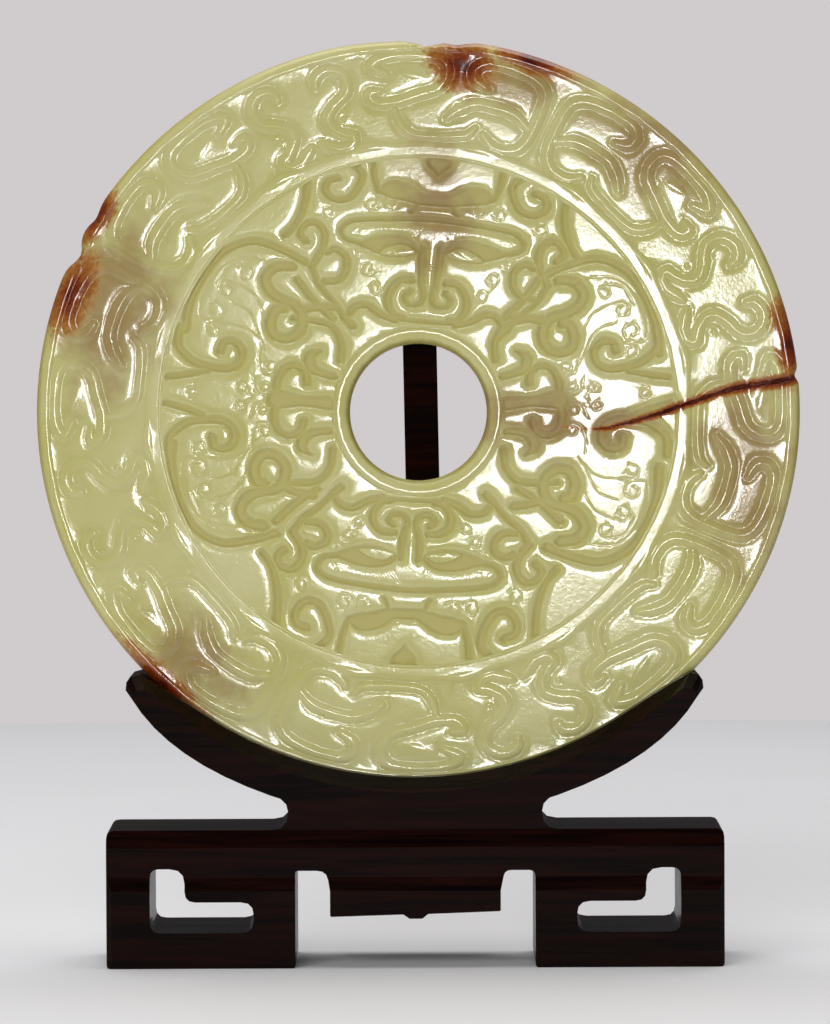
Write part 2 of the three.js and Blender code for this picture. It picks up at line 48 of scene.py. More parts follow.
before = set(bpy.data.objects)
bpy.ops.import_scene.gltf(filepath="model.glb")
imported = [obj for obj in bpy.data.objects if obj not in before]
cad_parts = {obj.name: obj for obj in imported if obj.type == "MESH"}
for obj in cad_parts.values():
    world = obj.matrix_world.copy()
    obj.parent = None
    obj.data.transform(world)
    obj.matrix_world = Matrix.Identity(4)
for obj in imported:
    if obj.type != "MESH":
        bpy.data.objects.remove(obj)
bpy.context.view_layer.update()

MM = 0.001
BODY = "root"
DISC_NODE = "jade_disc"
STAND_NODE = "stand"
STRIP_NODE = "back_strip"
DISC_LOW, DISC_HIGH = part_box(DISC_NODE)

# The disc, as the frame has it: radius from its width, the rest in millimetres and fractions.
RADIUS = (DISC_HIGH.x - DISC_LOW.x) / 2 / MM
FLATTENING = 0.022
THICKNESS = 10
LEAN = math.radians(2.3)
BORE = 0.18
BORE_BEVEL = 0.196
BORE_BEVEL_DEPTH = 1.1
BORE_RING = 0.2206
RING_LINE = 0.678
BAND_INNER = 0.712
BAND_OUTER = 0.97
SHOULDER = 0.976
SHOULDER_DEPTH = 2.3

# Where the rim has lost stone: degrees clockwise from the top, half width in degrees, depth.
# The first is only wear, along the top.
LOSSES = (
    (-3, 6, 0.5), (1.5, 2.2, 1.4), (6, 2, 1.0), (84.6, 0.8, 0.7), (295.4, 2, 1.9), (302, 1.6, 0.8),
)


def disc_place():
    """The matrix from the disc's own millimetres to the frame: its middle, leaning back."""
    half_height = RADIUS * (1 - FLATTENING)
    edge_half = THICKNESS / 2 - SHOULDER_DEPTH
    foot = DISC_LOW.z / MM + edge_half * math.sin(LEAN)
    middle = Vector((
        (DISC_LOW.x + DISC_HIGH.x) / 2 / MM,
        half_height * math.sin(LEAN),
        foot + half_height * math.cos(LEAN),
    ))
    turn = Matrix.Rotation(-LEAN, 4, "X")
    return Matrix.Scale(MM, 4) @ Matrix.Translation(middle) @ turn


def linear(code):
    """An sRGB hex colour as the linear colour that a socket takes."""
    channels = [int(code[i:i + 2], 16) / 255 for i in (0, 2, 4)]
    bent = [c / 12.92 if c <= 0.04045 else ((c + 0.055) / 1.055) ** 2.4 for c in channels]
    return (*bent, 1.0)


# ---- What a user would change ---------------------------------------------------------------

def length(name, description, millimetres):
    """A length that is given in millimetres and kept in metres."""
    return bpy.props.FloatProperty(
        name=name, description=description, default=millimetres * MM, unit="LENGTH", precision=5,
    )


def colour(name, description, code):
    """A colour that is given as an sRGB hex colour."""
    return bpy.props.FloatVectorProperty(
        name=name, description=description, default=linear(code), subtype="COLOR", size=4,
        min=0, max=1,
    )


def share(name, description, default):
    """A share from 0 to 1."""
    return bpy.props.FloatProperty(
        name=name, description=description, default=default, subtype="FACTOR", min=0, max=1,
    )


class BiDiscCarving(bpy.types.PropertyGroup):
    """How deep the disc is carved, and how finely its surface is made."""

    channel_depth: length("Channel depth", "Depth of the inner zone's channels", 0.75)
    channel_wall: length("Channel wall", "How far a channel's wall reaches to its floor", 1.1)
    roll: length("Edge roll", "How deep the polish has rolled the edges of the raised parts", 0.12)
    band_depth: length("Band depth", "Depth of the outer band's ground below the face", 0.38)
    ribbon_half: length("Ribbon half width", "Half the width of the outer band's ribbons", 1.6)
    line_depth: length("Line depth", "Depth of the fine incised lines", 0.1)
    line_half: length("Line half width", "Half the width of the fine incised lines", 0.2)
    mesh_step: length("Mesh step", "Spacing of the carved surface before it is thinned", 0.24)
    triangles: bpy.props.IntProperty(
        name="Triangles", description="Triangles left on the disc", default=196000, min=20000,
    )


class BiDiscJade(bpy.types.PropertyGroup):
    """The stone's colours and its polish."""

    body: colour("Body", "The pale yellow-green stone", "b9b572")
    body_light: colour("Light body", "Milky clouds in the stone", "c4c08a")
    # Painted shade: the stone down in the carving takes this darker, yellower colour.
    hollow: colour("Hollow", "The stone down in the carving", "b1a960")
    cloud: colour("Cloud", "The grey-brown clouds", "94794a")
    polish: share("Polish roughness", "Roughness of the face", 0.13)
    ground: share("Ground roughness", "Roughness down in the carving", 0.42)
    glow: share("Translucence", "How much light passes under the surface", 0.35)


class BiDiscWood(bpy.types.PropertyGroup):
    """The stand's oiled rosewood."""

    dark: colour("Dark wood", "The nearly black bands of the grain", "070201")
    ruddy: colour("Ruddy wood", "The red-brown bands of the grain", "1a0703")
    edge: length("Edge softness", "How far the sharp edges are rubbed round", 0.5)
    cradle_edge: length("Cradle edge", "How far the cradle's edges are rounded over", 1.9)
    sheen: share("Roughness", "Roughness of the oiled surface", 0.28)


class BiDiscStage(bpy.types.PropertyGroup):
    """The floor, the lights and the camera."""

    floor_radius: length("Floor radius", "Radius of the pale floor", 765)
    floor: colour("Floor", "The pale floor", "e9e8ea")
    room: colour("Room", "The pale room round the floor", "d0cbcc")
    lens: bpy.props.FloatProperty(
        name="Lens", description="Focal length in millimetres", default=224.4, min=20,
    )
    distance: length("Camera distance", "From the object's middle to the camera", 1500)
    mirror_watts: bpy.props.FloatProperty(
        name="Mirror light", description="Power of the small softbox that the face mirrors",
        default=2.3, unit="POWER",
    )
    window_watts: bpy.props.FloatProperty(
        name="Window light", description="Power of the broad softbox in front", default=17.5,
        unit="POWER",
    )
    top_watts: bpy.props.FloatProperty(
        name="Top light", description="Power of the softbox overhead", default=15, unit="POWER",
    )


# ---- Handling pieces ------------------------------------------------------------------------

def choose(piece):
    """Selects one piece alone and makes it active."""
    bpy.ops.object.select_all(action="DESELECT")
    piece.select_set(True)
    bpy.context.view_layer.objects.active = piece


def finish_with(piece, kind, **settings):
    """Adds a modifier to a piece, sets it and applies it."""
    choose(piece)
    bpy.ops.object.modifier_add(type=kind)
    modifier = piece.modifiers[-1]
    for name, value in settings.items():
        setattr(modifier, name, value)
    bpy.ops.object.modifier_apply(modifier=modifier.name)


def hand_over(piece, node, material):
    """Gives a finished piece its material and puts it in its node's place in the frame."""
    piece.data.materials.clear()
    piece.data.materials.append(material)
    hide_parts(node)
    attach(piece, BODY)


# ---- Lines of the carving -------------------------------------------------------------------

def smooth_line(points, step=0.35):
    """Points about a step apart on a smooth curve through rows of [x, z, half width]."""
    points = np.asarray(points, float)
    rows = np.vstack([2 * points[0] - points[1], points, 2 * points[-1] - points[-2]])
    stretches = []
    for before, start, end, after in zip(rows, rows[1:], rows[2:], rows[3:]):
        count = max(2, math.ceil(np.linalg.norm((end - start)[:2]) / step))
        t = np.arange(count)[:, None] / count
        bent = (
            2 * start + (end - before) * t
            + (2 * before - 5 * start + 4 * end - after) * t ** 2
            + (3 * start - before - 3 * end + after) * t ** 3
        )
        stretches.append(bent / 2)
    return np.vstack([*stretches, points[-1:]])


def curl(across, outward, size, turns=1.3, start=200, sense=1):
    """A small incised spiral as [across, outward] points that wind in to its middle."""
    steps = round(turns * 10)
    points = []
    for step in range(steps + 1):
        angle = math.radians(start) + sense * step / 10 * 2 * math.pi
        reach = size * (1 - 0.6 * step / steps)
        points.append((across + reach * math.cos(angle), outward + reach * math.sin(angle)))
    return points


def wound(stem, middle, turns=1.1, sense=1):
    """An incised line that ends in a curl: its stem's points, then a spiral about a middle."""
    start = stem[-1]
    size = math.hypot(start[0] - middle[0], start[1] - middle[1])
    angle = math.degrees(math.atan2(start[1] - middle[1], start[0] - middle[0]))
    return (*stem[:-1], *curl(*middle, size, turns, angle, sense))


def gap_to(x, z, lines, reach=2.4):
    """How far points lie outside the nearest of some [x, z, half width] lines, in millimetres.

    The second answer is the distance to that line's middle as a share of the half width there.
    """
    gap = np.full(x.shape, reach)
    off = np.full(x.shape, 9.0)
    for line in lines:
        margin = reach + line[:, 2].max()
        low = line[:, :2].min(0) - margin
        high = line[:, :2].max(0) + margin
        near = np.flatnonzero((x > low[0]) & (x < high[0]) & (z > low[1]) & (z < high[1]))
        near_x, near_z = x[near], z[near]
        near_gap, near_off = gap[near], off[near]
        for start, end in zip(line, line[1:]):
            run = end[:2] - start[:2]
            t = (near_x - start[0]) * run[0] + (near_z - start[1]) * run[1]
            t = np.clip(t / max(run @ run, 1e-9), 0, 1)
            distance = np.hypot(near_x - start[0] - t * run[0], near_z - start[1] - t * run[1])
            half = start[2] + t * (end[2] - start[2])
            closer = distance - half < near_gap
            near_gap[closer] = (distance - half)[closer]
            near_off[closer] = (distance / np.maximum(half, 1e-3))[closer]
        gap[near], off[near] = near_gap, near_off
    return gap, off


def ripple(x, z, size, seed):
    """Smooth uneven heights between -1 and 1 that vary over about `size` millimetres."""
    cells = 128
    table = np.random.default_rng(seed).uniform(-1, 1, (cells, cells))
    u, v = x / size + cells, z / size + cells
    i, j = np.floor(u).astype(int), np.floor(v).astype(int)
    s, t = u - i, v - j
    s, t = s * s * (3 - 2 * s), t * t * (3 - 2 * t)
    i0, i1, j0, j1 = i % cells, (i + 1) % cells, j % cells, (j + 1) % cells
    low = table[i0, j0] * (1 - s) + table[i1, j0] * s
    high = table[i0, j1] * (1 - s) + table[i1, j1] * s
    return low * (1 - t) + high * t


def cove(gap, width):
    """From 0 at the lip of a hollow to 1 on its floor, steepest at the lip."""
    t = np.clip(-gap / width, 0, 1)
    return 1 - (1 - t) ** 2


def rolled(gap, reach=2.4):
    """From 1 at the lip of a hollow to 0 at a distance outside it, like an edge polished round."""
    return (1 - np.clip(gap / reach, 0, 1)) ** 3


def bell(value, half):
    """1 at zero, falling away over about half a width to each side."""
    return np.exp(-(value / half) ** 2)


# ---- The outer band -------------------------------------------------------------------------

# Pairs of S-scrolls and pairs of posts take turns round the disc. The half unit between two of
# these axes mirrors the next. Lines are [units from the scroll axis, fraction of the radius].
BAND_AXES = (-20.4, 24, 68, 114, 160, 206, 253, 297.6, 339.6)
HALF_UNIT = 45.5
BAND_RIBBONS = {
    "scroll": (
        (3.5, 0.907), (4, 0.931), (6, 0.943), (8.1, 0.926), (8.8, 0.895), (8, 0.866),
        (5.6, 0.844), (3.8, 0.818), (4, 0.789), (6, 0.7625), (7.8, 0.7505), (7, 0.729),
        (4.6, 0.7265), (2.3, 0.743), (1, 0.755),
    ),
    "hook": (
        (15.7, 0.905), (13.4, 0.93), (15.6, 0.951), (19.7, 0.955), (24.4, 0.948), (26, 0.915),
        (24.8, 0.866), (20.7, 0.842), (16.3, 0.825), (13, 0.832), (12.4, 0.857), (14.2, 0.859),
    ),
    "arch": (
        (42.4, 0.806), (38.8, 0.83), (32.7, 0.834), (29.2, 0.814), (26.8, 0.785),
    ),
    "post": (
        (33.3, 0.88), (31, 0.897), (30.8, 0.928), (33, 0.949), (37.5, 0.947), (41.6, 0.933),
        (43.4, 0.895), (43.5, 0.8), (42.4, 0.748), (39.5, 0.727), (36.4, 0.731), (34.4, 0.755),
    ),
}
BAND_TROUGH = ((16.7, 0.808), (17.3, 0.772), (19.6, 0.739), (25, 0.732), (31, 0.745), (32.7, 0.77))
BAND_LOBE = ((17.5, 0.91), (20, 0.9), (22, 0.89))
BAND_EYE = (6.8, 0.803)
BAND_LENSES = ((11, 3), (34, 3))  # where the face bulges out, and half widths in degrees
LENS_RISE = 0.012  # how far a lens bulges, in fractions of the radius
LENS_SWELL = 0.16  # and how high it swells, in millimetres, like the heights below
RIBBON_TOP = -0.05
PILLOW_RISE = 0.16
REED_LINE = 0.06
EYE_RADIUS = 2.1
EYE_RING = 0.9  # the radius of the line round an eye


def band_line(points, unit, half):
    """One of the band's lines in its half unit, with a half width in millimetres."""
    units, fraction = np.array(points, float).T
    start, end = BAND_AXES[unit], BAND_AXES[unit + 1]
    along = units / HALF_UNIT
    if unit % 2:
        along = 1 - along
    turn = np.radians(start + (end - start) * along)
    width = np.broadcast_to(half, units.shape)
    return np.stack([
        RADIUS * fraction * np.sin(turn), RADIUS * fraction * np.cos(turn), width,
    ], axis=1)


def tapered(points, half, ends=0.6):
    """A half width for each point, drawn in at both ends."""
    widths = np.full(len(points), half)
    widths[[0, -1]] *= ends
    return widths


def band_lines(ribbon_half):
    """The band's ribbons and plain lobes all round the disc."""
    ribbons, lobes = [], []
    for unit in range(len(BAND_AXES) - 1):
        for points in BAND_RIBBONS.values():
            ribbons.append(smooth_line(band_line(points, unit, tapered(points, ribbon_half))))
        trough = tapered(BAND_TROUGH, 0.75 * ribbon_half)
        ribbons.append(smooth_line(band_line(BAND_TROUGH, unit, trough)))
        lobes.append(smooth_line(band_line(BAND_LOBE, unit, (0.6, 1.6, 0.8))))
    return ribbons, lobes


def band_lenses():
    """Each lens's angle round the disc and half width, in degrees."""
    lenses = []
    for unit in range(len(BAND_AXES) - 1):
        start, end = BAND_AXES[unit], BAND_AXES[unit + 1]
        for units, half in BAND_LENSES:
            along = 1 - units / HALF_UNIT if unit % 2 else units / HALF_UNIT
            lenses.append((start + (end - start) * along, half))
    return lenses


def band_eyes():
    """The middles of the round eyes beside the S-scrolls, in millimetres."""
    return [band_line([BAND_EYE], unit, 0)[0, :2] for unit in range(len(BAND_AXES) - 1)]


def carve_band(x, z, fraction, degrees, sizes):
    """Heights over the outer band, in millimetres above the face."""
    depth = sizes.band_depth / MM
    roll = sizes.roll / MM
    ribbons, lobes = band_lines(sizes.ribbon_half / MM)
    # The table: the face inside the band, which bulges out in lenses, and the fillet at the rim.
    lens = np.zeros(x.shape)
    for angle, half in band_lenses():
        lens += bell(away_from(degrees, angle), half)
    inside = (fraction - BAND_INNER - LENS_RISE * lens) * RADIUS
    table = -0.4 * roll * rolled(-inside, 1.2) - (depth - 0.4 * roll) * cove(-inside, 0.9)
    table += LENS_SWELL * lens * bell((fraction - BAND_INNER) * RADIUS, 1.1)
    outside = (BAND_OUTER - fraction) * RADIUS
    fillet = -depth * cove(-outside, 0.9)
    # The ground lies low beside the ribbons and swells into pillows away from them.
    gap, off = gap_to(x, z, ribbons)
    ground = -depth + PILLOW_RISE * (1 - rolled(gap))
    # A ribbon is low and rounded, with two fine lines along each side of its middle.
    share_off = np.minimum(off, 1)
    ribbon = RIBBON_TOP - (RIBBON_TOP + depth) * share_off ** 2.6
    ribbon -= REED_LINE * (bell(off - 0.36, 0.13) + bell(off - 0.7, 0.11))
    surface = np.where(off < 1, ribbon, ground)
    lobe_gap, _ = gap_to(x, z, lobes)
    lobe = -depth + 0.75 * depth * (1 - np.clip((lobe_gap + 1.6) / 2, 0, 1) ** 2)
    height = np.maximum.reduce([table, fillet, surface, lobe])
    for eye_x, eye_z in band_eyes():
        away = np.hypot(x - eye_x, z - eye_z)
        boss = -depth + 0.8 * depth * (1 - np.clip(away / EYE_RADIUS, 0, 1) ** 2.5)
        boss -= 0.12 * bell(away - EYE_RING, 0.25)
        near = away < EYE_RADIUS
        height[near] = np.maximum(height[near], boss[near])
    return height


# ---- The inner zone -------------------------------------------------------------------------

# Masks, crests and arches, each on two axes, in degrees clockwise from the top, and mirrored
# about them. Lines are (half width, points), in fractions of the radius, and the points are
# [across, outward] from the middle of the disc.
MASK_AXES = (5, 183.5)
CREST_AXES = (85.3, 275.3)
ARCH_AXES = (90, 276.5)
LOWER_MASK_SAG = 0.042  # the lower mask's brow sits this much nearer the bore

MASK_CHANNELS = (
    (0.012, ((0.025, 0.43), (0.02, 0.344), (0.01, 0.308), (0.02, 0.284), (0.046, 0.279),
             (0.06, 0.297), (0.048, 0.316))),
    (0.014, ((0.046, 0.342), (0.076, 0.339), (0.099, 0.311), (0.102, 0.276), (0.084, 0.247),
             (0.06, 0.24))),
    (0.009, ((0, 0.236), (0.03, 0.236), (0.062, 0.236))),
    (0.014, ((0.08, 0.234), (0.12, 0.247), (0.153, 0.267), (0.184, 0.263), (0.202, 0.244))),
    (0.014, ((0.215, 0.235), (0.19, 0.21))),
    (0.012, ((0.215, 0.235), (0.248, 0.274), (0.285, 0.312), (0.31, 0.36))),
    (0.014, ((0.274, 0.321), (0.238, 0.328), (0.219, 0.357), (0.223, 0.392), (0.251, 0.41),
             (0.272, 0.4))),
    (0.014, ((0.31, 0.36), (0.284, 0.41), (0.283, 0.45), (0.305, 0.475), (0.335, 0.47),
             (0.347, 0.445), (0.33, 0.425))),
    (0.014, ((0.24, 0.655), (0.2, 0.62), (0.205, 0.58), (0.23, 0.548), (0.265, 0.543),
             (0.29, 0.565), (0.285, 0.59), (0.26, 0.6))),
    (0.013, ((0.34, 0.605), (0.34, 0.535), (0.357, 0.475), (0.385, 0.437))),
    ((0.01, 0.03, 0.032, 0.02, 0.006),
     ((0.035, 0.425), (0.075, 0.43), (0.12, 0.43), (0.165, 0.43), (0.2, 0.43))),
    (0.011, ((0.0, 0.508), (0.07, 0.505), (0.13, 0.5), (0.18, 0.495), (0.222, 0.485),
             (0.24, 0.462), (0.222, 0.438), (0.17, 0.43))),
    ((0.018, 0.02, 0.028, 0.028, 0.014),
     ((0, 0.558), (0.04, 0.56), (0.08, 0.575), (0.115, 0.58), (0.145, 0.575))),
    ((0.04, 0.02, 0.004), ((0, 0.675), (0, 0.65), (0, 0.625))),
    (0.012, ((0.17, 0.65), (0.165, 0.61), (0.15, 0.575))),
    (0.008, ((0.045, 0.57), (0.05, 0.54), (0.06, 0.525))),
)
MASK_EYE = ((0.003, 0.012, 0.008, 0.002),
            ((0.045, 0.418), (0.075, 0.421), (0.11, 0.415), (0.13, 0.41)))
MASK_HAIRS = (
    ((0, 0.575), (0.05, 0.578)),
    ((0, 0.375), (0.014, 0.378)),
    ((0, 0.385), (0.014, 0.388)),
)
MASK_CURLS = ((0.12, 0.545), (0.168, 0.54), (0.138, 0.318), (0.165, 0.366), (0.205, 0.405),
              (0.28, 0.508))
MASK_CURL = (0.022, 1.1)  # size and turns
BROW_STROKES = 20
BROW_START = 0.03
BROW_PITCH = 0.0085
EYE_DROP = 0.15  # millimetres from the face down to the top of a mask's eye
EYE_SLOPE = 0.9

CREST_CHANNELS = (
    (0.015, ((0.17, 0.64), (0.12, 0.64), (0.083, 0.6), (0.07, 0.55), (0.07, 0.505),
             (0.088, 0.478), (0.12, 0.473), (0.142, 0.495), (0.138, 0.522), (0.115, 0.53))),
    (0.013, ((0.035, 0.66), (0.045, 0.61), (0.06, 0.56))),
    ((0.03, 0.018, 0.022), ((0, 0.37), (0, 0.3), (0, 0.235))),
    (0.014, ((0, 0.365), (0.04, 0.375), (0.08, 0.36), (0.092, 0.33), (0.078, 0.303),
             (0.05, 0.296))),
    ((0.008, 0.017, 0.018, 0.014, 0.014),
     ((0.137, 0.27), (0.12, 0.295), (0.09, 0.288), (0.077, 0.257), (0.072, 0.228))),
    (0.013, ((0.217, 0.345), (0.215, 0.296), (0.204, 0.245), (0.166, 0.217), (0.116, 0.214))),
    (0.014, ((0.32, 0.345), (0.27, 0.3), (0.225, 0.245))),
)
CREST_HAIRS = (
    wound(((0.0, 0.44), (0.01, 0.448), (0.036, 0.46)), (0.022, 0.468)),
    wound(((0.055, 0.44), (0.02, 0.43), (0.008, 0.41)), (0.028, 0.408)),
    wound(((0.15, 0.425), (0.11, 0.43), (0.07, 0.42), (0.062, 0.4)), (0.083, 0.398)),
)
CREST_BOWL = (0, 0.6, 0.02, 1)  # middle, size and turns of the small round on each crest's axis
ARCH_CHANNELS = (
    (0.018, ((0.345, 0.37), (0.34, 0.41), (0.31, 0.435), (0.275, 0.42), (0.255, 0.385),
             (0.245, 0.35), (0.22, 0.33), (0.18, 0.33), (0.155, 0.36), (0.16, 0.395),
             (0.19, 0.41), (0.225, 0.4), (0.232, 0.38))),
    (0.016, ((0.235, 0.33), (0.245, 0.29), (0.25, 0.25))),
    (0.015, ((0.36, 0.335), (0.385, 0.395), (0.402, 0.475), (0.368, 0.55), (0.3, 0.597),
             (0.22, 0.625), (0.15, 0.63))),
)
ARCH_HAIRS = (
    wound(((0.12, 0.418), (0.15, 0.438), (0.174, 0.48), (0.18, 0.55)), (0.158, 0.558)),
    wound(((0.2, 0.425), (0.262, 0.462), (0.29, 0.525)), (0.268, 0.535)),
    wound(((0.325, 0.4), (0.352, 0.45), (0.352, 0.52), (0.31, 0.57), (0.25, 0.597),
           (0.19, 0.597), (0.185, 0.57)), (0.212, 0.562), sense=1),
    wound(((0.28, 0.565), (0.325, 0.54), (0.336, 0.5)), (0.315, 0.492), sense=-1),
    ((0.16, 0.44), (0.215, 0.47), (0.235, 0.52)),
)


def zone_line(points, half, axis, mirror, sag=0.0):
    """A smooth line of the inner zone, turned onto its axis, in millimetres."""
    across, outward = np.array(points, float).T
    outward = outward - sag * bell(outward - 0.45, 0.13)
    across = across * mirror
    turn = math.radians(axis)
    return smooth_line(RADIUS * np.stack([
        across * math.cos(turn) + outward * math.sin(turn),
        outward * math.cos(turn) - across * math.sin(turn),
        np.broadcast_to(half, across.shape),
    ], axis=1))


def zone_lines():
    """The inner zone's channels, raised eyes, hairlines and brow strokes."""
    channels, eyes, hairs, brows = [], [], [], []
    for mirror in (1, -1):
        for axis, sag in zip(MASK_AXES, (0, LOWER_MASK_SAG)):
            for half, points in MASK_CHANNELS:
                channels.append(zone_line(points, half, axis, mirror, sag))
            eyes.append(zone_line(MASK_EYE[1], MASK_EYE[0], axis, mirror, sag))
            for points in MASK_HAIRS:
                hairs.append(zone_line(points, 0, axis, mirror, sag))
            for across, outward in MASK_CURLS:
                hairs.append(zone_line(curl(across, outward, *MASK_CURL), 0, axis, mirror, sag))
            for stroke in range(BROW_STROKES):
                foot = BROW_START + stroke * BROW_PITCH
                lean = (foot - 0.012, 0.494 - 0.04 * foot), (foot + 0.014, 0.462 - 0.03 * foot)
                brows.append(zone_line(lean, 0, axis, mirror, sag))
        for axis in CREST_AXES:
            for half, points in CREST_CHANNELS:
                channels.append(zone_line(points, half, axis, mirror))
            for points in CREST_HAIRS:
                hairs.append(zone_line(points, 0, axis, mirror))
            hairs.append(zone_line(curl(*CREST_BOWL), 0, axis, mirror))
        for axis in ARCH_AXES:
            for half, points in ARCH_CHANNELS:
                channels.append(zone_line(points, half, axis, mirror))
            for points in ARCH_HAIRS:
                hairs.append(zone_line(points, 0, axis, mirror))
    return channels, eyes, hairs, brows


def carve_zone(x, z, sizes):
    """Heights over the inner zone, in millimetres above the face."""
    channels, eyes, hairs, brows = zone_lines()
    depth = sizes.channel_depth / MM
    line_depth = sizes.line_depth / MM
    line_half = sizes.line_half / MM
    roll = sizes.roll / MM
    gap, _ = gap_to(x, z, channels)
    height = -roll * rolled(gap) - (depth - roll) * cove(gap, sizes.channel_wall / MM)
    eye_gap, _ = gap_to(x, z, eyes)
    eye = -EYE_DROP - depth * (1 - (1 - np.clip(eye_gap / EYE_SLOPE, 0, 1)) ** 2)
    height = np.maximum(height, eye)
    hair_gap, _ = gap_to(x, z, hairs, 1.0)
    height -= line_depth * bell(hair_gap, line_half)
    brow_gap, _ = gap_to(x, z, brows, 0.8)
    height -= 0.6 * line_depth * bell(brow_gap, 0.8 * line_half) * (gap > 0)
    return height


# ---- The whole face -------------------------------------------------------------------------

# The open crack, [fraction of the radius, degrees clockwise from the top, half width].
CRACK = (
    (1.03, 84.6, 0.8), (0.94, 85.4, 0.75), (0.842, 85.9, 0.65), (0.709, 88.4, 0.6),
    (0.62, 91, 0.5), (0.54, 93.6, 0.35), (0.476, 95.7, 0.15),
)
CRACK_DEPTH = 1.3


def crack_line():
    """The crack's middle line with its half widths, in millimetres."""
    rows = []
    for fraction, degrees, half in CRACK:
        turn = math.radians(degrees)
        rows.append((RADIUS * fraction * math.sin(turn), RADIUS * fraction * math.cos(turn), half))
    return smooth_line(rows)


def away_from(degrees, angle):
    """Degrees from an angle round the disc, between -180 and 180."""
    return (degrees - angle + 540) % 360 - 180


def groove(fraction, at, depth=0.45, half=0.55):
    """A V-shaped ring line."""
    return -depth * np.clip(1 - np.abs(fraction - at) * RADIUS / half, 0, 1)


def carve_front(fraction, degrees, sizes):
    """Heights of the carved face, in millimetres above it."""
    turn = np.radians(degrees)
    x, z = RADIUS * fraction * np.sin(turn), RADIUS * fraction * np.cos(turn)
    height = np.zeros(x.shape)
    zone = (fraction > BORE_RING + 0.004) & (fraction < RING_LINE - 0.006)
    height[zone] = carve_zone(x[zone], z[zone], sizes)
    band = (fraction > BAND_INNER - 0.01) & (fraction < SHOULDER)
    height[band] = carve_band(x[band], z[band], fraction[band], degrees[band], sizes)
    height += groove(fraction, BORE_RING) + groove(fraction, RING_LINE, 0.22, 0.4)
    # The crack, ragged along its lips and rough on its floor.
    gap, _ = gap_to(x, z, [crack_line()])
    gap = gap + 0.3 * ripple(x, z, 1.4, 31) + 0.15 * ripple(x, z, 0.6, 32)
    inside = cove(gap, 0.8)
    floor = -CRACK_DEPTH + 0.35 * ripple(x, z, 0.9, 33)
    return height * (1 - inside) + np.minimum(height, floor) * inside


def carve_back(fraction, degrees):
    """Heights of the plainer back: ring lines and rows of rice grains."""
    turn = np.radians(degrees)
    x, z = RADIUS * fraction * np.sin(turn), RADIUS * fraction * np.cos(turn)
    height = groove(fraction, BAND_INNER) + groove(fraction, BAND_OUTER)
    pitch, radius, depth = 6.6, 2.1, 0.5
    row = np.round(z / (pitch * math.sqrt(0.75)))
    shift = (row % 2) * pitch / 2
    grain_x = np.round((x - shift) / pitch) * pitch + shift
    grain_z = row * pitch * math.sqrt(0.75)
    at = np.hypot(grain_x, grain_z) / RADIUS
    away = np.hypot(x - grain_x, z - grain_z) / radius
    grain = (1 - np.clip(away, 0, 1) ** 2) * ((at > BORE_RING + 0.05) & (at < RING_LINE - 0.035))
    sunk = np.clip((fraction - BORE_RING) * RADIUS / 0.8, 0, 1)
    sunk *= np.clip((RING_LINE - fraction) * RADIUS / 0.8, 0, 1)
    return height - depth * sunk * (1 - grain)


def chips(fraction, degrees):
    """How far the rim's losses draw a point in, and how deep they pit the face."""
    drawn = np.zeros(fraction.shape)
    pitted = np.zeros(fraction.shape)
    for angle, half, depth in LOSSES:
        off = away_from(degrees, angle)
        drawn += depth * bell(off, half)
        pitted += depth * bell(off, 1.3 * half)
    turn = np.radians(degrees)
    x, z = RADIUS * fraction * np.sin(turn), RADIUS * fraction * np.cos(turn)
    rough = 0.5 * ripple(x, z, 1.6, 41) + 0.3 * ripple(x, z, 0.7, 42)
    rim = np.clip((fraction - BAND_OUTER) / (1 - BAND_OUTER), 0, 1)
    near = np.clip((fraction - 0.945) / 0.04, 0, 1)
    return drawn * rim * (1 + 0.25 * rough), pitted * near * (0.25 + 0.3 * rough)


# ---- The disc -------------------------------------------------------------------------------

def run(start, end, step):
    """Evenly spaced [fraction, y] rows from a start up to but not including an end."""
    start, end = np.array(start, float), np.array(end, float)
    size = np.hypot((end[0] - start[0]) * RADIUS, end[1] - start[1])
    count = max(1, round(size / step))
    return start + (end - start) * (np.arange(count) / count)[:, None]


def rim_round(side, steps):
    """The rounded shoulder from the face out to the edge; side is -1 in front, 1 behind."""
    angle = np.arange(steps) / steps * math.pi / 2
    edge = THICKNESS / 2 - SHOULDER_DEPTH
    fraction = SHOULDER + (1 - SHOULDER) * np.sin(angle)
    return np.stack([fraction, side * (edge + SHOULDER_DEPTH * np.cos(angle))], axis=1)


def disc_section(step):
    """The disc's closed section as [fraction, y] rows, from the middle of the bore's wall over
    the front, the edge and the back, and round to where it began."""
    half = THICKNESS / 2
    lip = half - BORE_BEVEL_DEPTH
    edge = half - SHOULDER_DEPTH
    front = [
        run((BORE, 0), (BORE, -lip), 1.3),
        run((BORE, -lip), (BORE_BEVEL, -half), 0.3),
        run((BORE_BEVEL, -half), (SHOULDER, -half), step),
        rim_round(-1, 14),
        run((1, -edge), (1, 0), 1.0),
    ]
    back = [
        run((1, 0), (1, edge), 1.0),
        rim_round(1, 8)[::-1],
        run((SHOULDER, half), (BORE_BEVEL, half), 2.4 * step),
        run((BORE_BEVEL, half), (BORE, lip), 0.5),
        run((BORE, lip), (BORE, 0), 1.3),
    ]
    rows = np.vstack([*front, *back, [[BORE, 0]]])
    return rows


